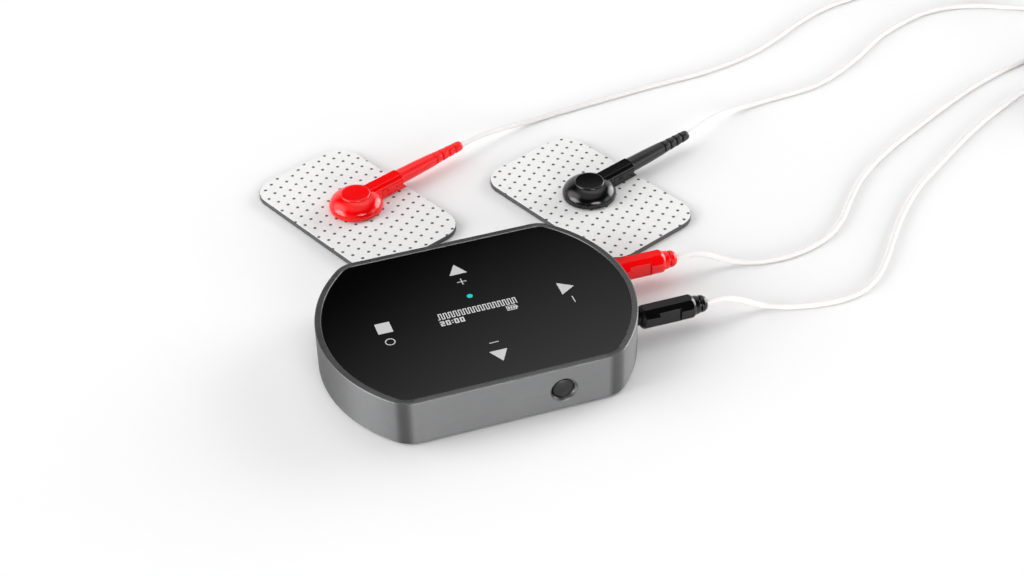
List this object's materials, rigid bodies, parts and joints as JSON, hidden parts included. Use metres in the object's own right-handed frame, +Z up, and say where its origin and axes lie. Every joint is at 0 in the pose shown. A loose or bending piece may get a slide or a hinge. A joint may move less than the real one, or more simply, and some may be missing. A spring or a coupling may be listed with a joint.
{
  "type": "tens unit",
  "caption": "Slim electrical nerve stimulator with a glass touch panel, a side power button, and red and black leads that snap onto adhesive electrode pads.",
  "frame": {"origin": "middle of the unit's underside, on the surface it rests on", "axes": "+Z up, +X towards the unit's jacks, +Y towards the electrode pads"},
  "size_m": [0.2937, 0.1589, 0.0131],
  "materials": {
    "casing_metal": "satin anodised",
    "panel_glass": "polished black glass",
    "moulded_black": "polished moulding",
    "moulded_red": "polished moulding",
    "cover_plastic": "fine spark texture",
    "base_rubber": "matt",
    "button_plastic": "polished",
    "gasket_foam": "closed cell foam",
    "film": "clear film with sensor tracks",
    "display": "display glass",
    "board": "green solder mask",
    "light": "clear light pipe",
    "flex_cable": "amber film",
    "chip": "moulded",
    "capacitor_can": "bright can",
    "battery_pouch": "foil pouch",
    "wire": "insulation",
    "steel": "plated",
    "transformer": "tape and ferrite",
    "contact_brass": "plated",
    "cord_jacket": "soft jacket",
    "pad_gel": "tacky gel",
    "pad_foam": "carbon film on foam",
    "pad_cover": "printed non-woven"
  },
  "bodies": {
    "unit": {"casing": "casing_metal", "bottom_cover": "cover_plastic", "base_pad": "base_rubber", "glass_panel": "panel_glass", "panel_gasket": "gasket_foam", "touch_film": "film", "display_module": "display", "panel_board": "board", "status_light": "light", "panel_cable": "flex_cable", "main_board": "board", "controller_chip": "chip", "capacitors": "capacitor_can", "battery": "battery_pouch", "battery_foam": "gasket_foam", "battery_lead": "wire", "power_switch": "steel", "case_screws": "steel", "red_transformer": "transformer", "black_transformer": "transformer", "red_jack": "chip", "black_jack": "chip", "red_jack_contact": "contact_brass", "black_jack_contact": "contact_brass"},
    "power_button": {"button_cap": "button_plastic", "switch_plunger": "steel"},
    "red_lead": {"red_plug_shell": "moulded_red", "red_plug_collar": "moulded_red", "red_plug_pin": "steel", "red_cord_near": "cord_jacket", "red_cord_coil": "cord_jacket", "red_cord_far": "cord_jacket"},
    "red_snap": {"red_snap_base": "moulded_red", "red_snap_housing": "moulded_red", "red_snap_cap": "moulded_red", "red_snap_socket": "steel", "red_snap_boot": "moulded_red"},
    "red_pad": {"red_pad_gel": "pad_gel", "red_pad_foam": "pad_foam", "red_pad_cover": "pad_cover", "red_pad_eyelet": "steel", "red_pad_stud": "steel"},
    "black_lead": {"black_plug_shell": "moulded_black", "black_plug_collar": "moulded_black", "black_plug_pin": "steel", "black_cord_near": "cord_jacket", "black_cord_coil": "cord_jacket", "black_cord_far": "cord_jacket"},
    "black_snap": {"black_snap_base": "moulded_black", "black_snap_housing": "moulded_black", "black_snap_cap": "moulded_black", "black_snap_socket": "steel", "black_snap_boot": "moulded_black"},
    "black_pad": {"black_pad_gel": "pad_gel", "black_pad_foam": "pad_foam", "black_pad_cover": "pad_cover", "black_pad_eyelet": "steel", "black_pad_stud": "steel"}
  },
  "joints": [
    {"name": "button_press", "type": "slide", "parent": "unit", "child": "power_button", "axis": [0, 1, 0], "range_m": [0, 0.0006], "stiffness_N_per_m": 600, "springref_m": -0.0003},
    {"name": "red_plug_pull", "type": "slide", "parent": "unit", "child": "red_lead", "axis": [1, 0, 0], "range_m": [0, 0.011]},
    {"name": "red_snap_lift", "type": "slide", "parent": "red_lead", "child": "red_snap", "axis": [0, 0, 1], "range_m": [0, 0.006]},
    {"name": "red_pad_swivel", "type": "hinge", "parent": "red_lead", "child": "red_pad", "pos_m": [-0.0132, 0.067, 0.003], "axis": [0, 0, 1], "continuous": true},
    {"name": "black_plug_pull", "type": "slide", "parent": "unit", "child": "black_lead", "axis": [1, 0, 0], "range_m": [0, 0.011]},
    {"name": "black_snap_lift", "type": "slide", "parent": "black_lead", "child": "black_snap", "axis": [0, 0, 1], "range_m": [0, 0.006]},
    {"name": "black_pad_swivel", "type": "hinge", "parent": "black_lead", "child": "black_pad", "pos_m": [0.0488, 0.0502, 0.003], "axis": [0, 0, 1], "continuous": true}
  ]
}
